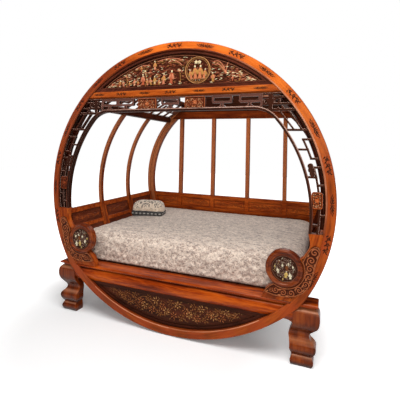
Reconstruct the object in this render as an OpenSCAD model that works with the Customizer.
/* [Moon ring] */
// Outer diameter of the upright front ring
ring_diameter = 2200; // [2100:10:2300]
// Width of the ring's face, seen from the front
ring_face = 56; // [46:1:66]
// Thickness of the ring from front to back
ring_depth = 78; // [66:1:90]
// Height of the ring's centre above the floor
ring_centre = 1010; // [980:5:1040]
// Gap between the floor and the lowest point of the lower arc
arc_floor_gap = 3; // [2:1:8]
// Height where the upper ring meets the lower arc
arc_joint = 380; // [370:2:390]
// Overall depth, from the roundels to the rear legs
bed_depth = 1550; // [1450:10:1650]

/* [Gable above the lintel] */
// Height from the lintel's upper edge to the top of the ring
gable_height = 343; // [325:1:360]
// Height of the lintel's plain face
lintel_height = 42; // [36:1:48]
// Height of the stepped moulding under the lintel
lintel_moulding = 13; // [10:1:18]
// Width of the carved panel's border along the ring
gable_border = 28; // [20:1:36]
// Radius of the round medallion in the gable
gable_medallion = 88; // [76:1:96]
// Distance of that medallion from the middle
gable_medallion_x = 174; // [100:2:220]

/* [Fretwork round the opening] */
// Width between the ring and the circle of the opening's sides
opening_band = 101; // [94:1:119]
// How far the centre of that arc lies under the ring's centre
opening_drop = 76; // [60:1:84]
// Height from the opening's flat top to the lintel
frieze_height = 106; // [96:1:118]
// Radius of the opening's upper corners
opening_corner = 190; // [120:5:240]
// Width of the trim that lines the opening
trim_width = 15; // [12:1:20]
// Depth of the trim
trim_depth = 40; // [32:1:50]
// Width of one fret bar
bar_width = 14; // [10:0.5:16]
// Depth of the fretwork
fret_depth = 24; // [18:1:32]
// Height of the spandrels' upper ends
spandrel_top = 826; // [810:1:840]
// Width of the square carved blocks in the frieze
block_width = 153; // [120:1:160]
// Distance of the left block from the middle
block_left_x = 230; // [220:1:240]
// Distance of the right block from the middle
block_right_x = 157; // [150:1:165]

/* [Roundels] */
// Outer radius of the drum-shaped roundels
roundel_radius = 118; // [108:1:124]
// Length of each drum from front to back
roundel_depth = 50; // [40:1:62]
// How far the drums stand out in front of the ring
roundel_proud = 6; // [2:1:12]
// Radius of the carved insert in a roundel
insert_radius = 83; // [74:1:92]
// Gap between a drum's rim and the ring, seen from the front
roundel_gap = 28; // [18:0.5:32]
// Height of the roundels' centres
roundel_z = 592; // [575:1:600]

/* [Seat frame] */
// Height of the seat frame's upper face
seat_top = 391; // [386:1:396]
// Thickness of the lip along the seat frame
lip_height = 18; // [14:1:22]
// Height of the groove under the lip
groove_height = 13; // [8:1:16]
// Height of the bulging apron under the groove
apron_height = 84; // [70:1:92]
// Depth of the front beam
beam_depth = 125; // [112:1:140]
// How far the front beam reaches past the ring on each side
beam_reach = 93; // [76:1:101]
// How far the frame behind the ring stays inside it on each side
body_inset = 4; // [0:1:19]
// Thickness of the carved panel in the lower arc
lower_panel_thickness = 20; // [14:1:26]

/* [Legs] */
// Width of a leg at its shoulder
leg_width = 161; // [150:1:175]
// Depth of a leg from front to back
leg_depth = 122; // [112:1:135]
// How far a leg's shoulder stands out past the beam's end
leg_shoulder = 10; // [4:1:14]

/* [Round sides and back] */
// Height of the low gallery above the floor
gallery_top = 798; // [780:1:815]
// How far the barrel's axis lies under the ring's centre
barrel_drop = 34; // [24:1:40]
// How far the barrel lies inside the ring's outer edge
barrel_inset = 50; // [44:1:58]
// Width of the ribs, seen from the front
rib_width = 32; // [26:1:40]
// Depth of the ribs from front to back
rib_depth = 34; // [28:1:46]
// Width of the posts across the back
post_width = 40; // [34:1:46]
// Thickness of the back
back_thick = 46; // [40:1:54]
// Height of the gallery's upper rail
gallery_rail = 38; // [30:1:46]
// Height of the gallery's middle rail
gallery_mid_rail = 30; // [22:1:38]
// Lower edge of the gallery's carved upper panels
gallery_mid = 655; // [635:1:670]
// Underside of the lower purlins that the ribs carry
purlin_low = 1642; // [1620:1:1660]
// Height of the lower purlins
purlin_height = 58; // [48:1:66]
// Height of the upper purlins' centres
upper_purlin = 1850; // [1830:1:1870]
// Underside of the rail across the back
back_rail_low = 1683; // [1665:1:1700]
// Height of that rail
back_rail_height = 82; // [70:1:92]
// Number of bays in each side
side_bays = 3; // [2:1:4]
// Number of bays in the back
back_bays = 5; // [4:1:6]

/* [Deck and bedding] */
// Thickness of the deck boards
board_thickness = 18; // [14:1:22]
// Number of deck boards
board_count = 9; // [6:1:12]
// Height of the mattress at its rim
mattress_rim = 236; // [200:2:246]
// Rise of the mattress towards its middle
mattress_crown = 8; // [6:1:20]
// Length of the pillow
pillow_length = 350; // [320:5:400]
// Depth of the pillow
pillow_depth = 210; // [180:5:240]
// Height of the pillow
pillow_height = 150; // [120:2:165]

/* [Hidden] */
$fn = 180;
// Clearance between pieces that seat in each other
fit = 0.2;
// Clearance round the bedding
soft_fit = 0.4;
// Larger than the bed, for cutting planes
big = 5000;

ring_out = ring_diameter / 2;
ring_in = ring_out - ring_face;
front = -bed_depth / 2 + roundel_proud;
back = bed_depth / 2;
// The two upper joints of the ring, and the length of their laps in degrees
crown_angle = 43;
lap_angle = 3;
ring_round = 4;

// The lower arc passes through the ring's joints and its own lowest point
joint_out = sqrt(pow(ring_out, 2) - pow(ring_centre - arc_joint, 2));
arc_centre = (pow(joint_out, 2) + pow(arc_joint, 2) - pow(arc_floor_gap, 2))
  / (2 * (arc_joint - arc_floor_gap));
arc_out = arc_centre - arc_floor_gap;
arc_in = arc_out - ring_face;

// Half the width of a circle of radius r about height c, at height z
function circle_x(r, z, c = ring_centre) = sqrt(max(0, pow(r, 2) - pow(z - c, 2)));

lip_low = seat_top - lip_height;
groove_low = lip_low - groove_height;
apron_low = groove_low - apron_height;
lintel_top = ring_centre + ring_out - gable_height;
lintel_low = lintel_top - lintel_height;
moulding_low = lintel_low - lintel_moulding;
opening_top = moulding_low - frieze_height;
opening_radius = ring_in - opening_band;
roundel_x = circle_x(ring_in - roundel_radius - roundel_gap, roundel_z);
beam_half = circle_x(ring_out, seat_top) + beam_reach;
body_half = circle_x(ring_out, seat_top) - body_inset;
beam_front = front + 5;
beam_back = beam_front + beam_depth;

barrel_centre = ring_centre - barrel_drop;
rib_out = ring_out - barrel_inset;
rib_in = rib_out - rib_width;
arc_width = 46;
arc_stile_in = rib_in - arc_width;
back_front = back - 16 - back_thick;
gallery_front = front + ring_depth;
side_run = back_front - gallery_front;

// A smooth run of points through a few given ones
function knot(p, i) = p[max(0, min(len(p) - 1, i))];
function between(a, b, c, d, t) = 0.5 * (2 * b + (c - a) * t + (2 * a - 5 * b + 4 * c - d) * t * t
  + (3 * b - a - 3 * c + d) * t * t * t);
function smooth(p, n) = concat([for (i = [0:len(p) - 2]) for (k = [0:n - 1])
  between(knot(p, i - 1), knot(p, i), knot(p, i + 1), knot(p, i + 2), k / n)], [p[len(p) - 1]]);
function turned_back(p) = [for (i = [len(p) - 1:-1:0]) p[i]];

// A flat shape in width and height, given its depth behind a front plane
module upright(y, depth) {
  translate([0, y + depth, 0]) rotate([90, 0, 0]) linear_extrude(depth) children();
}

// A flat shape in depth and height, given its length to the right
module sideways(x, length) {
  translate([x, 0, 0]) rotate([90, 0, 90]) linear_extrude(length) children();
}

// An arc of a bar about an axis from front to back
module arc_bar(r0, r1, a0, a1, y, depth, centre = ring_centre) {
  translate([0, y, centre]) rotate([90, 0, 0]) rotate([0, 0, a0])
    rotate_extrude(angle = a1 - a0) translate([r0, -depth]) square([r1 - r0, depth]);
}

module above(z) { translate([-big / 2, -big / 2, z]) cube([big, big, big]); }
module below(z) { translate([-big / 2, -big / 2, z - big]) cube([big, big, big]); }
module right_half() { translate([0, -big / 2, -big / 2]) cube([big, big, big]); }
module to_left() { mirror([1, 0, 0]) children(); }
module half_plane(z) { translate([-big / 2, z]) square([big, big]); }
module disc(r, x = 0, z = ring_centre) { translate([x, z]) circle(r); }
function barrel_x(r, z) = circle_x(r, z, barrel_centre);
module barrel_disc(r) { disc(r, 0, barrel_centre); }
module barrel_bar(r0, r1, a0, a1, y, depth) { arc_bar(r0, r1, a0, a1, y, depth, barrel_centre); }
// A flat box with round corners, about its middle
module soft_box(w, h, r) {
  square([w, h - 2 * r], center = true);
  square([w - 2 * r, h], center = true);
  for (x = [-1, 1]) for (z = [-1, 1]) translate([x * (w / 2 - r), z * (h / 2 - r)]) circle(r);
}

// Ring, in four pieces: laps are cut half way through the front or the rear
module ring_run(a0, a1) {
  translate([0, front, ring_centre]) rotate([90, 0, 0]) rotate([0, 0, a0])
    rotate_extrude(angle = a1 - a0)
      polygon([[ring_in + ring_round, 0], [ring_in, -ring_round],
        [ring_in, -ring_depth + ring_round], [ring_in + ring_round, -ring_depth],
        [ring_out - ring_round, -ring_depth], [ring_out, -ring_depth + ring_round],
        [ring_out, -ring_round], [ring_out - ring_round, 0]]);
}
module lap_cut(a0, a1, rear) {
  half = ring_depth / 2;
  arc_bar(ring_in - 5, ring_out + 5, a0, a1, rear ? front + half : front - 5, half + 5);
}
module ring_crown() {
  color("chocolate") difference() {
    ring_run(crown_angle - lap_angle, 180 - crown_angle + lap_angle);
    lap_cut(crown_angle - lap_angle - 1, crown_angle, false);
    lap_cut(180 - crown_angle, 180 - crown_angle + lap_angle + 1, false);
  }
}
module ring_side() {
  foot_angle = -60;
  clear = fit / 10;
  color("sienna") difference() {
    intersection() {
      ring_run(foot_angle, crown_angle - clear);
      above(arc_joint);
    }
    lap_cut(crown_angle - lap_angle - clear, crown_angle + 1, true);
  }
}
module ring_lower() {
  reach = 60;
  color("sienna") intersection() {
    translate([0, front, arc_centre]) rotate([90, 0, 0]) rotate([0, 0, -90 - reach])
      rotate_extrude(angle = 2 * reach)
        polygon([[arc_in + ring_round, 0], [arc_in, -ring_round], [arc_in, -ring_depth],
          [arc_out, -ring_depth], [arc_out, -ring_round], [arc_out - ring_round, 0]]);
    below(arc_joint - fit);
  }
}
// The space that the ring takes in the beam, the apron and the legs
module ring_housing() {
  intersection() {
    translate([0, front + ring_depth + fit, ring_centre]) rotate([90, 0, 0]) difference() {
      cylinder(r = ring_out + fit, h = ring_depth + 50);
      translate([0, 0, -1]) cylinder(r = ring_in - fit, h = ring_depth + 60);
    }
    above(arc_joint - fit);
  }
  intersection() {
    translate([0, front + ring_depth + fit, arc_centre]) rotate([90, 0, 0]) difference() {
      cylinder(r = arc_out + fit, h = ring_depth + 50);
      translate([0, 0, -1]) cylinder(r = arc_in - fit, h = ring_depth + 60);
    }
    below(arc_joint);
  }
}

// gable above the lintel
gable_setback = 8;
gable_sill = 30;
gable_depth = 36;
gable_recess = 14;
bead = 4;
module gable_shape(inset, sill) {
  intersection() {
    disc(ring_in - fit - inset);
    half_plane(lintel_top + fit + sill);
  }
}
module gable_frame() {
  color("maroon") {
    upright(front + gable_setback, gable_depth) difference() {
      gable_shape(0, 0);
      gable_shape(gable_border, gable_sill);
    }
    upright(front + gable_setback - bead, bead) difference() {
      gable_shape(gable_border - 2 * bead, gable_sill - 2 * bead);
      gable_shape(gable_border - bead, gable_sill - bead);
    }
  }
}
module gable_panel() {
  color("sienna") upright(front + gable_setback + gable_recess, gable_depth - gable_recess)
    gable_shape(gable_border + fit, gable_sill + fit);
}
gable_medallion_z = lintel_top + gable_sill + gable_medallion + 8;
module gable_medallion() {
  rim = 9;
  petals = 8;
  y = front + gable_setback + gable_recess - fit;
  color("peru") {
    upright(y - 12, 12) difference() {
      disc(gable_medallion, gable_medallion_x, gable_medallion_z);
      disc(gable_medallion - rim, gable_medallion_x, gable_medallion_z);
    }
    upright(y - 6, 6) disc(gable_medallion - rim / 2, gable_medallion_x, gable_medallion_z);
    upright(y - 10, 5) for (k = [0:petals - 1])
      translate([gable_medallion_x, gable_medallion_z]) rotate(k * 360 / petals)
        translate([gable_medallion * 0.5, 0]) circle(gable_medallion * 0.2);
    upright(y - 11, 6) disc(gable_medallion * 0.26, gable_medallion_x, gable_medallion_z);
  }
}

// lintel
lintel_depth = 60;
module lintel() {
  set = 2;
  step = 9;
  nose = 5;
  color("chocolate") intersection() {
    sideways(-ring_in, 2 * ring_in)
      polygon([[front + set + nose, lintel_top], [front + lintel_depth, lintel_top],
        [front + lintel_depth, moulding_low], [front + set + 2 * step, moulding_low],
        [front + set + 2 * step, moulding_low + lintel_moulding / 2],
        [front + set + step, moulding_low + lintel_moulding / 2],
        [front + set + step, lintel_low], [front + set, lintel_low],
        [front + set, lintel_top - nose]]);
    translate([0, 0, ring_centre]) rotate([90, 0, 0])
      cylinder(r = ring_in - fit, h = big, center = true);
  }
}

// trim that lines the opening
trim_set = 3;
opening_centre = ring_centre - opening_drop;
corner_z = opening_top - opening_corner;
corner_x = sqrt(pow(opening_radius - opening_corner, 2) - pow(corner_z - opening_centre, 2));
corner_angle = atan2(corner_z - opening_centre, corner_x);
// The opening's outline, grown outwards by a margin
module opening_shape(grow) {
  r = opening_radius + grow;
  c = opening_corner + grow;
  tangent_z = opening_centre + r * sin(corner_angle);
  tangent_x = r * cos(corner_angle);
  intersection() {
    disc(r, 0, opening_centre);
    translate([-big / 2, tangent_z - big]) square([big, big]);
  }
  for (s = [-1, 1]) translate([s * corner_x, corner_z]) circle(c);
  polygon([[-tangent_x, tangent_z], [-corner_x, corner_z], [-corner_x, opening_top + grow],
    [corner_x, opening_top + grow], [corner_x, corner_z], [tangent_x, tangent_z]]);
}
module trim_ring() {
  upright(front + trim_set, trim_depth) difference() {
    opening_shape(trim_width);
    opening_shape(0);
  }
}
trim_joint = corner_z - 40;
module trim_top() {
  color("saddlebrown") intersection() {
    trim_ring();
    above(trim_joint + fit);
  }
}
module trim_side() {
  color("saddlebrown") intersection() {
    trim_ring();
    below(trim_joint);
    above(spandrel_top + fit);
    right_half();
  }
}

// fretwork
fret_set = 10;
strip_width = 10;
// The flat band that the side frets fill, between trim and ring
module band_shape(z0, z1) {
  intersection() {
    difference() {
      disc(ring_in - fit);
      opening_shape(trim_width + fit);
    }
    translate([0, z0]) square([big, z1 - z0]);
  }
}
// Bars of the side fret: height from the ring's centre, and side that each bar reaches
key_steps = [[400, 1], [336, -1], [280, 1], [226, 1], [164, -1], [115, 1], [-70, 1], [-132, -1]];
full_steps = [460];
key_links = [[400, 336], [336, 280], [226, 164], [164, 115], [115, 70], [-30, -70], [-70, -132],
  [-132, -190]];
// Carved block in the side band: its ends, and how far it stays off the ring
side_block = [-29, 74];
side_block_gap = 24;
knot_height = 210;
function band_in(z) = circle_x(opening_radius + trim_width, z, opening_centre);
function band_out(z) = circle_x(ring_in, z);
function band_mid(z) = (band_in(z) + band_out(z)) / 2;
module side_fret() {
  fret_top = moulding_low - corner_height;
  color("saddlebrown") {
    upright(front + fret_set, fret_depth) intersection() {
      band_shape(spandrel_top + fit, fret_top);
      union() {
        difference() {
          disc(ring_in);
          disc(ring_in - strip_width);
        }
        for (s = key_steps) {
          z = ring_centre + s[0];
          x0 = s[1] > 0 ? band_mid(z) - bar_width / 2 : band_in(z) - bar_width;
          x1 = s[1] > 0 ? band_out(z) + bar_width : band_mid(z) + bar_width / 2;
          translate([x0, z - bar_width / 2]) square([x1 - x0, bar_width]);
        }
        for (s = full_steps)
          translate([band_in(ring_centre + s) - bar_width, ring_centre + s - bar_width / 2])
            square([ring_out, bar_width]);
        for (k = key_links) {
          zt = ring_centre + k[0];
          zb = ring_centre + k[1];
          polygon([[band_mid(zt) - bar_width / 2, zt], [band_mid(zt) + bar_width / 2, zt],
            [band_mid(zb) + bar_width / 2, zb], [band_mid(zb) - bar_width / 2, zb]]);
          for (z = [zt, zb]) translate([band_mid(z), z]) circle(bar_width / 2, $fn = 32);
        }
        // Two slanting bars under the corner
        for (t = [0.34, 0.68]) {
          zt = fret_top + 30;
          zb = ring_centre + full_steps[0];
          xt = band_in(zt) + t * (band_out(zt) - band_in(zt));
          xb = band_in(zb) + t * (band_out(zb) - band_in(zb));
          polygon([[xt - bar_width / 2, zt], [xt + bar_width / 2, zt],
            [xb + bar_width / 2, zb], [xb - bar_width / 2, zb]]);
        }
      }
    }
    // Square carved block in the side band
    upright(front + fret_set - 3, fret_depth + 2) {
      low = ring_centre + side_block[0];
      high = ring_centre + side_block[1];
      middle = (low + high) / 2;
      x0 = band_in(middle) + 1;
      x1 = band_out(middle) - side_block_gap;
      translate([(x0 + x1) / 2, middle]) soft_box(x1 - x0, high - low, 13);
    }
    // Leaf knot between the keys
    upright(front + fret_set - 2, fret_depth) for (k = [-1, 0, 1]) {
      z = ring_centre + knot_height + k * 24;
      translate([band_mid(z) - 18, z]) circle(k == 0 ? 20 : 17, $fn = 64);
    }
  }
}
// The frieze under the lintel
frieze_low = opening_top + trim_width + fit;
frieze_high = moulding_low - fit;
// Ends of the frieze, past the opening's flat top
frieze_end = corner_x + 61;
// Middle of each loop as a share of the frieze's half length
loop_places = frieze_end * [-0.88, -0.652, -0.058, 0.5625, 0.866];
loop_width = 146;
loop_height = 53;
loop_stem = 26;
stem_slot = 8;
frieze_rail = 8;
// A loop with round corners on a stem that widens at its foot
module loop_fret(x) {
  middle = frieze_high - 5 - loop_height / 2;
  low = middle - loop_height / 2;
  translate([x, middle]) difference() {
    soft_box(loop_width, loop_height, 12);
    soft_box(loop_width - 2 * bar_width, loop_height - 2 * bar_width, 4);
  }
  for (s = [-1, 1]) translate([x + s * (loop_stem + stem_slot) / 4, (frieze_low + low) / 2])
    square([(loop_stem - stem_slot) / 2, low - frieze_low + 2], center = true);
  translate([x, frieze_low + frieze_rail]) for (s = [-1, 1])
    polygon([[s * stem_slot / 2, -1], [s * 28, -1], [s * loop_stem / 2, 10], [s * stem_slot / 2, 10]]);
}
module block_outline(grow) {
  for (x = [-block_left_x, block_right_x])
    translate([x, frieze_low + block_height / 2])
      soft_box(block_width + 2 * grow, block_height + 2 * grow, block_round + grow);
}
block_height = frieze_high - 5 - fit - frieze_low;
block_round = 13;
module frieze_fret() {
  color("saddlebrown") upright(front + fret_set, fret_depth) difference() {
    union() {
      for (x = loop_places) loop_fret(x);
      for (z = [frieze_low, frieze_high - frieze_rail])
        translate([-frieze_end, z]) square([2 * frieze_end, frieze_rail]);
      for (s = [-1, 1])
        translate([s * (frieze_end - bar_width / 2) - bar_width / 2, frieze_low])
          square([bar_width, frieze_high - frieze_low]);
    }
    block_outline(fit);
  }
}
module block(x) {
  rim = 7;
  middle = [x, frieze_low + block_height / 2];
  color("indianred") {
    upright(front + fret_set - 2, fret_depth + 4) translate(middle) difference() {
      soft_box(block_width, block_height, block_round);
      soft_box(block_width - 2 * rim, block_height - 2 * rim, block_round - rim);
    }
    upright(front + fret_set + 3, fret_depth - 3) translate(middle)
      soft_box(block_width - rim, block_height - rim, block_round - rim / 2);
    // A rosette with leaves to each corner
    upright(front + fret_set - 3, 7) translate(middle) {
      circle(block_height * 0.24);
      for (k = [0:3]) rotate(k * 90 + 45) translate([block_height * 0.42, 0]) circle(block_height * 0.15);
      for (s = [-1, 1]) translate([s * block_width * 0.36, 0]) circle(block_height * 0.16);
    }
  }
}
// Scrolled carving that fills the frieze's corners
module scroll(x, z, r, a0, a1) {
  w = bar_width + 1;
  steps = 10;
  for (k = [0:steps]) {
    a = a0 + (a1 - a0) * k / steps;
    translate([x + r * cos(a), z + r * sin(a)]) circle(w / 2, $fn = 24);
  }
  for (k = [0:steps - 1]) {
    a = a0 + (a1 - a0) * k / steps;
    b = a0 + (a1 - a0) * (k + 1) / steps;
    translate([x, z]) polygon([(r - w / 2) * [cos(a), sin(a)], (r + w / 2) * [cos(a), sin(a)],
      (r + w / 2) * [cos(b), sin(b)], (r - w / 2) * [cos(b), sin(b)]]);
  }
}
// Height of the corners under the lintel
corner_height = 120;
module corner_scroll() {
  low = moulding_low - corner_height;
  mid = (frieze_low + frieze_high) / 2;
  // Longer than the corner, so that every bar runs into the ring
  run = ring_out - frieze_end;
  color("brown") upright(front + fret_set - 1, fret_depth) intersection() {
    difference() {
      disc(ring_in - fit);
      opening_shape(trim_width + fit);
    }
    translate([frieze_end + fit, low + fit]) square([big, frieze_high - low - fit]);
    union() {
      difference() {
        disc(ring_in);
        disc(ring_in - strip_width);
      }
      translate([frieze_end, frieze_high - 12]) square([run, 12]);
      translate([frieze_end, low]) square([run, bar_width + 2]);
      translate([frieze_end + 40, low]) square([26, frieze_high - low]);
      translate([frieze_end, mid + 10]) square([150, bar_width]);
      translate([frieze_end, mid - 34]) square([200, bar_width]);
      scroll(frieze_end + 22, mid - 12, 17, -200, 60);
      scroll(frieze_end + 92, mid - 10, 18, -120, 150);
      scroll(frieze_end + 118, mid - 62, 17, -200, 60);
      translate([frieze_end + 53, mid - 10]) circle(24);
      translate([frieze_end + 53, mid + 26]) circle(16);
    }
  }
}

// roundels and spandrels
// Depth of the hollow that takes the insert
roundel_recess = 12;
// The rim's rolled face: distance in from the drum's edge, and height under its highest line
rim_line = smooth([[0, 12], [2, 6], [7, 2], [13, 0], [19, 2], [23, 6]], 3);
module roundel() {
  color("chocolate") translate([roundel_x, front - roundel_proud + roundel_depth, roundel_z])
    rotate([90, 0, 0]) rotate_extrude() polygon(concat(
      [[0, 0], [roundel_radius - 3, 0], [roundel_radius, 3]],
      [for (p = rim_line) [roundel_radius - p[0], roundel_depth - p[1]]],
      [[insert_radius + fit, roundel_depth - 6], [insert_radius + fit, roundel_depth - roundel_recess],
        [0, roundel_depth - roundel_recess]]));
}
module insert() {
  y = front - roundel_proud + roundel_recess - fit;
  color("darkolivegreen") translate([roundel_x, y, roundel_z]) rotate([90, 0, 0]) {
    cylinder(r = insert_radius, h = 4);
    difference() {
      cylinder(r = insert_radius, h = 9);
      translate([0, 0, -1]) cylinder(r = insert_radius - 5, h = 12);
    }
    for (k = [0:4]) rotate([0, 0, 90 + k * 72]) translate([insert_radius * 0.5, 0, 0])
      cylinder(r = insert_radius * 0.2, h = 7);
    cylinder(r = insert_radius * 0.2, h = 8);
  }
}
spandrel_set = 7;
spandrel_depth = 46;
// Edges from the drum's middle: the tail flares under it to a point, the neck rises beside it
tail_line = [[-124, -159], [-115, -140], [-103, -127], [-83, -112], [-65, -100]];
neck_line = [[92, 70], [110, 80], [124, 100], [141, 126], [152, 153], [153, 184]];
// The carved field ends in a round head beside the drum
field_head = [186, 130];
field_head_radius = 31;
module spandrel_shape(inset) {
  x = roundel_x;
  z = roundel_z;
  sunk = inset > 0;
  tail = smooth([for (p = tail_line) [x + p[0] + inset * 1.4, z + p[1] - inset * 0.5]], 4);
  neck = smooth([for (p = neck_line) [x + p[0] + inset, z + p[1]]], 4);
  foot = sunk ? [[x + 60, seat_top + 20]]
    : [[x + tail_line[0][0] - 18, seat_top + fit], [x + tail_line[0][0] - 12, seat_top + 18]];
  top = [[circle_x(opening_radius, spandrel_top, opening_centre), spandrel_top], [ring_out, spandrel_top]];
  difference() {
    intersection() {
      disc(ring_in - fit - inset);
      polygon(concat(foot, tail, [[x, z]], neck, top, [[ring_out, seat_top + (sunk ? 20 : fit)]]));
      if (sunk) union() {
        translate([0, seat_top]) square([big, z + field_head[1] - seat_top]);
        disc(field_head_radius, x + field_head[0], z + field_head[1]);
      }
    }
    disc(roundel_radius + fit + inset * 0.8, roundel_x, roundel_z);
  }
}
module spandrel() {
  color("sienna") difference() {
    upright(front + spandrel_set, spandrel_depth) spandrel_shape(0);
    upright(front + spandrel_set - 1, 7) spandrel_shape(10);
  }
}

// seat frame
// Outline of lip, groove and bulging apron: distance behind the front plane, and height
lip_profile = [[6, seat_top], [1, seat_top - 5], [0, seat_top - 10], [2, lip_low + 3], [8, lip_low]];
apron_curve = smooth([[16, groove_low], [5, groove_low - 12], [0, groove_low - 34], [3, groove_low - 56],
  [12, apron_low + 8], [18, apron_low]], 4);
module beam_profile() {
  polygon([for (p = concat(lip_profile, [[22, lip_low], [22, groove_low], [beam_depth, groove_low],
    [beam_depth, seat_top]])) [beam_front + p[0], p[1]]]);
}
module end_profile(half) {
  polygon(concat([for (p = lip_profile) [half - p[0], p[1]]], [[half - 22, lip_low], [half - 22, groove_low]],
    [for (p = turned_back(concat(lip_profile, [[22, lip_low], [22, groove_low]]))) [-half + p[0], p[1]]]));
}
module front_beam() {
  color("sienna") difference() {
    intersection() {
      sideways(-beam_half, 2 * beam_half) beam_profile();
      upright(front - 20, 200) end_profile(beam_half);
    }
    ring_housing();
  }
}
leg_inner = beam_half + leg_shoulder - leg_width;
module front_apron() {
  apron_back = 96;
  color("chocolate") difference() {
    sideways(-leg_inner + fit, 2 * leg_inner - 2 * fit)
      polygon([for (p = concat(apron_curve, [[apron_back, apron_low], [apron_back, groove_low - fit]]))
        [beam_front + p[0], min(p[1], groove_low - fit)]]);
    ring_housing();
  }
}
module lower_shape(inset) {
  intersection() {
    translate([0, arc_centre]) circle(arc_in - fit - inset);
    translate([-big / 2, -big + apron_low - fit - inset]) square([big, big]);
  }
}
module lower_panel() {
  border = 22;
  sunk = 7;
  color("maroon") {
    upright(front + 22, lower_panel_thickness) difference() {
      lower_shape(0);
      lower_shape(border);
    }
    upright(front + 22 + sunk, lower_panel_thickness - sunk) lower_shape(border - 1);
    upright(front + 20, 3) difference() {
      lower_shape(border * 0.55);
      lower_shape(border * 0.8);
    }
  }
}

// legs: one outline across, one from front to back, both cut into the same block
// Height, and distance in from the leg's outermost line
leg_steps = [[0, 50], [14, 42], [34, 36], [54, 43], [66, 48], [78, 38], [100, 26], [126, 22], [146, 34],
  [164, 53], [184, 64], [204, 57], [224, 36], [246, 14], [270, 4], [300, 0], [330, 3], [346, 12], [359, 26]];
// Height, and how far the inner edge stands in from the shoulder's
leg_waves = [[0, 12], [34, 16], [56, 7], [66, 5], [86, 14], [106, 20], [128, 19], [156, 23], [184, 28],
  [210, 20], [240, 8], [272, 0], [359, 0]];
// Height, and distance behind the ring's front: foot, groove, ridge, neck and rolled shoulder
leg_face = [[0, 27], [14, 18], [34, 13], [54, 20], [66, 29], [78, 21], [100, 10], [126, 8], [146, 17],
  [164, 30], [184, 38], [204, 36], [224, 25], [246, 13], [270, 5], [300, 2], [330, 3], [346, 12], [359, 28]];
// The heights above are for a leg of this height
leg_drawn = 359;
// The shoulder's smallest distance behind the ring's front, as in the list
leg_face_min = 1.5;
leg_scale = (groove_low - fit) / leg_drawn;
leg_rear = front + 5 + leg_depth - 22;
function leg_line(steps, share) = smooth([for (s = steps) [-s[1] * share, s[0] * leg_scale]], 3);
module leg_front_shape() {
  polygon(concat([for (p = leg_line(leg_steps, 1)) [beam_half + leg_shoulder + p[0], p[1]]],
    turned_back([for (p = leg_line(leg_waves, 1)) [leg_inner + p[0], p[1]]])));
}
module leg_side_shape() {
  polygon(concat([for (p = leg_line(leg_face, -1)) [front + p[0], p[1]]],
    turned_back([for (p = leg_line(leg_waves, 0.6)) [leg_rear + p[0], p[1]]])));
}
// A small bracket that leads the apron's edge into the leg
module leg_ear() {
  ear = 62;
  polygon(concat([[leg_inner + 20, apron_low + 16], [leg_inner - ear, apron_low - fit]],
    smooth([[leg_inner - ear, apron_low - 4], [leg_inner - 30, apron_low - 8],
      [leg_inner - 8, apron_low - 18], [leg_inner + 2, apron_low - 34], [leg_inner + 20, apron_low - 50]], 3)));
}
module leg_body() {
  intersection() {
    upright(front - 10, leg_depth + 60) leg_front_shape();
    sideways(0, big / 2) leg_side_shape();
  }
}
module leg_front() {
  color("sienna") difference() {
    union() {
      leg_body();
      upright(beam_front + 22, 34) intersection() {
        leg_ear();
        translate([0, -big + apron_low - fit]) square([big, big]);
      }
    }
    ring_housing();
  }
}
module leg_back() {
  shift = beam_half + leg_shoulder - body_half;
  color("sienna") translate([-shift, back + front + leg_face_min, 0]) mirror([0, 1, 0]) leg_body();
}

// frame behind the ring
back_beam_rear = back - 4;
back_beam_front = back + front + leg_face_min - leg_rear;
back_beam_depth = back_beam_rear - back_beam_front;
sill_in = barrel_x(rib_in, seat_top) - 6;
sill_width = body_half - 4 - sill_in;
sill_low = groove_low - 40;
module back_beam() {
  half = body_half - 10;
  apron_half = body_half - leg_width - fit;
  apron_depth = 60;
  color("sienna") {
    intersection() {
      sideways(-half, 2 * half)
        polygon([for (p = concat(lip_profile, [[22, lip_low], [22, groove_low], [back_beam_depth, groove_low],
          [back_beam_depth, seat_top]])) [back_beam_rear - p[0], p[1]]]);
      upright(back_beam_front - 1, back_beam_depth + 2) end_profile(half);
    }
    sideways(-apron_half, 2 * apron_half)
      polygon([for (p = concat(apron_curve, [[apron_depth, apron_low], [apron_depth, groove_low + 1],
        [24, groove_low + 1], [24, groove_low]])) [back_beam_rear - p[0], p[1]]]);
  }
}
module sill() {
  color("sienna") {
    translate([sill_in, beam_back + fit, sill_low])
      cube([sill_width, back_beam_front - beam_back - 2 * fit, seat_top - sill_low]);
    translate([sill_in, leg_rear + fit, sill_low])
      cube([sill_width, beam_back + 2 * fit - leg_rear, groove_low - 2 * fit - sill_low]);
  }
}
deck_top = seat_top;
bearer_height = 40;
bearer_width = 60;
bearer_count = 4;
deck_front = beam_back + fit;
deck_back = back_beam_front - fit;
module deck_bearers() {
  color("peru") for (k = [0:bearer_count - 1]) {
    y = deck_front + 60 + k * (deck_back - deck_front - 120 - bearer_width) / (bearer_count - 1);
    translate([-sill_in + fit, y, deck_top - board_thickness - bearer_height - fit])
      cube([2 * sill_in - 2 * fit, bearer_width, bearer_height]);
  }
}
module deck_boards() {
  gap = 6;
  width = (2 * sill_in - 2 * fit - (board_count - 1) * gap) / board_count;
  color("burlywood") for (k = [0:board_count - 1])
    translate([-sill_in + fit + k * (width + gap), deck_front, deck_top - board_thickness])
      cube([width, deck_back - deck_front, board_thickness]);
}

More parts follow.
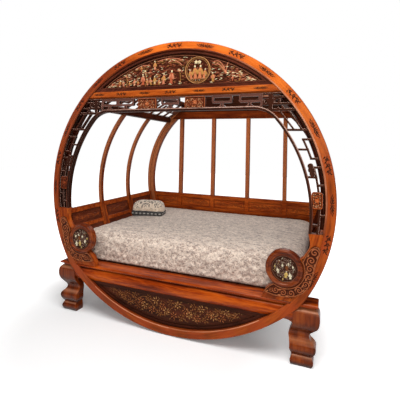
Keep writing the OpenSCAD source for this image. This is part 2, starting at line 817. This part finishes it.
// round sides: ribs, gallery and panels all follow the ring's axis
module rib(k) {
  y = rib_place(k);
  color("chocolate") intersection() {
    barrel_bar(rib_in, rib_out, -60, 60, y - rib_depth / 2, rib_depth);
    above(seat_top + fit);
    below(purlin_low - fit);
  }
}
module side_post() {
  color("chocolate") intersection() {
    barrel_bar(rib_in, rib_out, -60, crown_angle, back_front, back_thick);
    above(seat_top + fit);
  }
}
module back_arc() {
  groove = 4;
  color("sienna") intersection() {
    union() {
      barrel_bar(arc_stile_in, rib_in - groove, -60, 60, back_front, back_thick);
      barrel_bar(arc_stile_in, rib_in - fit, -60, 60, back_front + 2 * groove, back_thick - 2 * groove);
    }
    above(seat_top + fit);
    below(back_rail_low - fit);
  }
}
module back_crown() {
  clear = fit / 10;
  color("chocolate")
    barrel_bar(rib_in, rib_out, crown_angle + clear, 180 - crown_angle - clear, back_front, back_thick);
}
gallery_set = 4;
gallery_in = rib_in + gallery_set;
gallery_out = rib_out - gallery_set;
stile = 26;
foot_rail = 44;
// One bay of the side gallery lies between two ribs
function rib_place(k) = gallery_front + k * side_run / side_bays;
function bay_start(k) = rib_place(k) + (k == 0 ? 0 : rib_depth / 2) + fit;
function bay_end(k) = rib_place(k + 1) - (k == side_bays - 1 ? 0 : rib_depth / 2) - fit;
module side_arc(r0, r1, z0, z1, y0, y1) {
  intersection() {
    barrel_bar(r0, r1, -60, 20, y0, y1 - y0);
    above(z0);
    below(z1);
  }
}
module side_gallery() {
  low = seat_top + fit;
  color("brown") for (k = [0:side_bays - 1]) difference() {
    side_arc(gallery_in, gallery_out, low, gallery_top, bay_start(k), bay_end(k));
    side_arc(gallery_in - 5, gallery_out + 5, gallery_mid, gallery_top - gallery_rail,
      bay_start(k) + stile, bay_end(k) - stile);
    side_arc(gallery_in - 5, gallery_out + 5, low + foot_rail, gallery_mid - gallery_mid_rail,
      bay_start(k) + stile, bay_end(k) - stile);
  }
}
module side_panels() {
  thin = 10;
  field = 4;
  r = gallery_in + 8;
  low = seat_top + fit;
  color("firebrick") for (k = [0:side_bays - 1]) {
    y0 = bay_start(k) + stile + fit;
    y1 = bay_end(k) - stile - fit;
    side_arc(r, r + thin, gallery_mid + fit, gallery_top - gallery_rail - fit, y0, y1);
    side_arc(r - field, r + 1, gallery_mid + 16, gallery_top - gallery_rail - 16, y0 + 16, y1 - 16);
    side_arc(r, r + thin, low + foot_rail + fit, gallery_mid - gallery_mid_rail - fit, y0, y1);
  }
}
// The back gallery is flat and ends against the curved stiles
back_bay_start = barrel_x(rib_in, gallery_top) + 12;
back_bay = 2 * back_bay_start / back_bays;
function back_post_x(k) = -back_bay_start + k * back_bay;
module post_strip(k, low) { translate([back_post_x(k) - post_width / 2, low]) square([post_width, big]); }
module back_gallery() {
  low = seat_top + fit;
  color("brown") upright(back_front + gallery_set, back_thick - 2 * gallery_set) intersection() {
    barrel_disc(arc_stile_in - fit);
    difference() {
      translate([-big / 2, low]) square([big, gallery_top - low]);
      difference() {
        union() {
          translate([-big / 2, gallery_mid]) square([big, gallery_top - gallery_rail - gallery_mid]);
          translate([-big / 2, low + foot_rail])
            square([big, gallery_mid - gallery_mid_rail - low - foot_rail]);
        }
        for (k = [1:back_bays - 1]) post_strip(k, low);
        difference() {
          barrel_disc(arc_stile_in);
          barrel_disc(arc_stile_in - stile);
        }
      }
    }
  }
}
module back_panel_shape(z0, z1, inset) {
  intersection() {
    barrel_disc(arc_stile_in - stile - fit - inset);
    for (k = [0:back_bays - 1])
      translate([back_post_x(k) + post_width / 2 + fit + inset, z0 + fit + inset])
        square([back_bay - post_width - 2 * (fit + inset), z1 - z0 - 2 * (fit + inset)]);
  }
}
module back_panels() {
  thin = 12;
  y = back_front + gallery_set + 10;
  color("firebrick") {
    upright(y, thin) back_panel_shape(gallery_mid, gallery_top - gallery_rail, 0);
    upright(y - 5, 6) back_panel_shape(gallery_mid, gallery_top - gallery_rail, 16);
    upright(y, thin) back_panel_shape(seat_top + fit + foot_rail, gallery_mid - gallery_mid_rail, 0);
  }
}
module back_posts() {
  color("chocolate") upright(back_front, back_thick) intersection() {
    // The outer posts end under the arc where it comes lower than the rail
    barrel_disc(arc_stile_in - fit);
    for (k = [1:back_bays - 1]) translate([back_post_x(k) - post_width / 2, gallery_top + fit])
      square([post_width, back_rail_low - gallery_top - 2 * fit]);
  }
}
back_rail_high = back_rail_low + back_rail_height;
module back_rail() {
  groove = 5;
  color("sienna") upright(back_front, back_thick) intersection() {
    barrel_disc(rib_in - fit);
    translate([-big / 2, back_rail_low]) square([big, back_rail_height]);
  }
  color("sienna") upright(back_front - groove, groove + 1) intersection() {
    barrel_disc(rib_in - 24);
    translate([-big / 2, back_rail_low + 18]) square([big, back_rail_height - 36]);
  }
}
module back_lunette() {
  color("maroon") upright(back_front + 14, 18) intersection() {
    barrel_disc(rib_in - fit);
    half_plane(back_rail_high + fit);
  }
}

// purlins and the openwork above them
purlin_width = 58;
purlin_x = barrel_x(rib_out, purlin_low) - purlin_width;
upper_size = 44;
upper_x = barrel_x(rib_out, upper_purlin) - upper_size;
module purlin() {
  color("sienna") translate([purlin_x, gallery_front + fit, purlin_low])
    cube([purlin_width, side_run - 2 * fit, purlin_height]);
}
lattice_thick = 18;
lattice_foot = [purlin_x + purlin_width / 2, purlin_low + purlin_height];
lattice_head = [upper_x + upper_size / 2, upper_purlin - upper_size / 2];
lattice_length = norm(lattice_head - lattice_foot);
lattice_tilt = atan2(lattice_foot[0] - lattice_head[0], lattice_head[1] - lattice_foot[1]);
module side_frieze() {
  y0 = gallery_front + fit;
  run = side_run - 2 * fit;
  cell_count = 9;
  cell = run / cell_count;
  s1 = lattice_length * 0.36;
  s2 = lattice_length * 0.68;
  color("saddlebrown") {
    translate([upper_x, y0, upper_purlin - upper_size / 2]) cube([upper_size, run, upper_size]);
    intersection() {
      translate([lattice_foot[0], 0, lattice_foot[1]]) rotate([0, -lattice_tilt, 0])
        translate([-lattice_thick / 2, 0, 0]) sideways(0, lattice_thick) {
          translate([y0, -20]) square([run, 20 + 14]);
          translate([y0, lattice_length - 10]) square([run, 20]);
          for (k = [0:cell_count]) translate([min(y0 + k * cell, y0 + run - bar_width), 0])
            square([bar_width, lattice_length]);
          for (k = [0:cell_count - 1]) {
            translate([y0 + (k + (k % 2 == 0 ? 0 : 0.5)) * cell, s1])
              square([cell * 0.5 + bar_width / 2, bar_width]);
            translate([y0 + (k + (k % 2 == 0 ? 0.5 : 0)) * cell, s2]) square([cell * 0.5, bar_width]);
            translate([y0 + (k + 0.5) * cell, s1]) square([bar_width, s2 - s1 + bar_width]);
          }
        }
      above(lattice_foot[1] + fit);
      difference() {
        above(0);
        translate([upper_x, -big / 2, upper_purlin - upper_size / 2 + 1]) cube([upper_size, big, big]);
      }
    }
  }
}

// bedding
mattress_low = deck_top + soft_fit;
mattress_front = beam_back + 3;
mattress_back = back_front + gallery_set - soft_fit;
mattress_top = mattress_low + mattress_rim;
function rounded(w, y0, y1, r, m) = [for (q = [0:3]) for (i = [0:m]) let (a = q * 90 + i * 90 / m,
  cx = (q == 0 || q == 3 ? 1 : -1) * (w - r), cy = q < 2 ? y1 - r : y0 + r)
  [cx + r * cos(a), cy + r * sin(a)]];
// Each level of the mattress: height share, inset from its widest outline
mattress_levels = [[0, 10], [0.06, 3], [0.3, 0], [0.7, 0], [0.86, 5], [0.95, 15], [1, 34]];
crown_rings = [[0.95, 0.55], [0.86, 0.9], [0.7, 1]];
mattress_corner = 100;
mattress_steps = 9;
// Clearance to the ribs, and height share where the sides stand upright
mattress_clear = 3;
mattress_widest = 0.55;
function mattress_width(z) = barrel_x(rib_in, min(z, mattress_low + mattress_widest * mattress_rim))
  - mattress_clear;
function mattress_ring(l) = let (z = mattress_low + l[0] * mattress_rim, w = mattress_width(z) - l[1],
  y0 = mattress_front + l[1], y1 = mattress_back - l[1])
  [for (p = rounded(w, y0, y1, mattress_corner, mattress_steps)) [p[0], p[1], z]];
function crown_ring(c) = let (top = mattress_ring(mattress_levels[len(mattress_levels) - 1]),
  mid = (mattress_front + mattress_back) / 2)
  [for (p = top) [p[0] * c[0], mid + (p[1] - mid) * c[0], p[2] + mattress_crown * c[1]]];
function flatten(l) = [for (a = l) for (b = a) b];
module loft(rings) {
  n = len(rings[0]);
  m = len(rings);
  polyhedron(points = flatten(rings), faces = concat(
    [for (j = [0:m - 2]) for (i = [0:n - 1]) [j * n + i, (j + 1) * n + i, (j + 1) * n + (i + 1) % n]],
    [for (j = [0:m - 2]) for (i = [0:n - 1])
      [j * n + i, (j + 1) * n + (i + 1) % n, j * n + (i + 1) % n]],
    [[for (i = [0:n - 1]) i]], [[for (i = [n - 1:-1:0]) (m - 1) * n + i]]));
}
module mattress() {
  color("tan") loft(concat([for (l = mattress_levels) mattress_ring(l)],
    [for (c = crown_rings) crown_ring(c)]));
}
// The pillow's middle lies this far in from the mattress's side and from its rear edge
pillow_from_side = 200;
pillow_from_rear = 560;
pillow_x = -mattress_width(mattress_top) + pillow_from_side;
pillow_y = mattress_back - pillow_from_rear;
pillow_turn = 12;
pillow_low = mattress_top + mattress_crown + soft_fit;
// Height share, width share and depth share up the pillow
pillow_levels = [[0, 0.97, 0.96], [0.04, 1, 1], [0.24, 0.99, 0.98], [0.3, 0.94, 0.93], [0.55, 0.95, 0.92],
  [0.76, 0.91, 0.84], [0.9, 0.8, 0.66], [0.98, 0.56, 0.38], [1, 0.24, 0.14]];
function pillow_ring(l) = let (w = pillow_length * l[1], d = pillow_depth * l[2])
  [for (p = rounded(w / 2, -d / 2, d / 2, min(w, d) * 0.35, 6)) [p[0], p[1], l[0] * pillow_height]];
module pillow() {
  color("lightsteelblue") translate([pillow_x, pillow_y, pillow_low]) rotate([0, 0, pillow_turn])
    loft([for (l = pillow_levels) pillow_ring(l)]);
}

ring_crown();
to_left() ring_side();  // ring_left
ring_side();  // ring_right
ring_lower();
gable_frame();
gable_panel();
gable_medallion();
lintel();
frieze_fret();
block(-block_left_x);  // block_left
block(block_right_x);  // block_right
to_left() corner_scroll();  // corner_scroll_left
corner_scroll();  // corner_scroll_right
to_left() side_fret();  // fret_left
side_fret();  // fret_right
to_left() trim_side();  // trim_left
trim_side();  // trim_right
trim_top();
to_left() roundel();  // roundel_left
roundel();  // roundel_right
to_left() insert();  // insert_left
insert();  // insert_right
to_left() spandrel();  // spandrel_left
spandrel();  // spandrel_right
front_beam();
front_apron();
lower_panel();
to_left() leg_front();  // leg_front_left
leg_front();  // leg_front_right
to_left() leg_back();  // leg_back_left
leg_back();  // leg_back_right
to_left() sill();  // sill_left
sill();  // sill_right
back_beam();
deck_bearers();
deck_boards();
to_left() side_gallery();  // gallery_left
side_gallery();  // gallery_right
back_gallery();  // gallery_back
to_left() side_panels();  // panels_left
side_panels();  // panels_right
back_panels();  // panels_back
to_left() rib(1);  // rib_left_front
to_left() rib(2);  // rib_left_rear
rib(1);  // rib_right_front
rib(2);  // rib_right_rear
to_left() side_post();  // side_post_left
side_post();  // side_post_right
to_left() back_arc();  // back_arc_left
back_arc();  // back_arc_right
back_crown();
back_lunette();
back_rail();
back_posts();
to_left() purlin();  // purlin_left
purlin();  // purlin_right
to_left() side_frieze();  // side_frieze_left
side_frieze();  // side_frieze_right
mattress();
pillow();
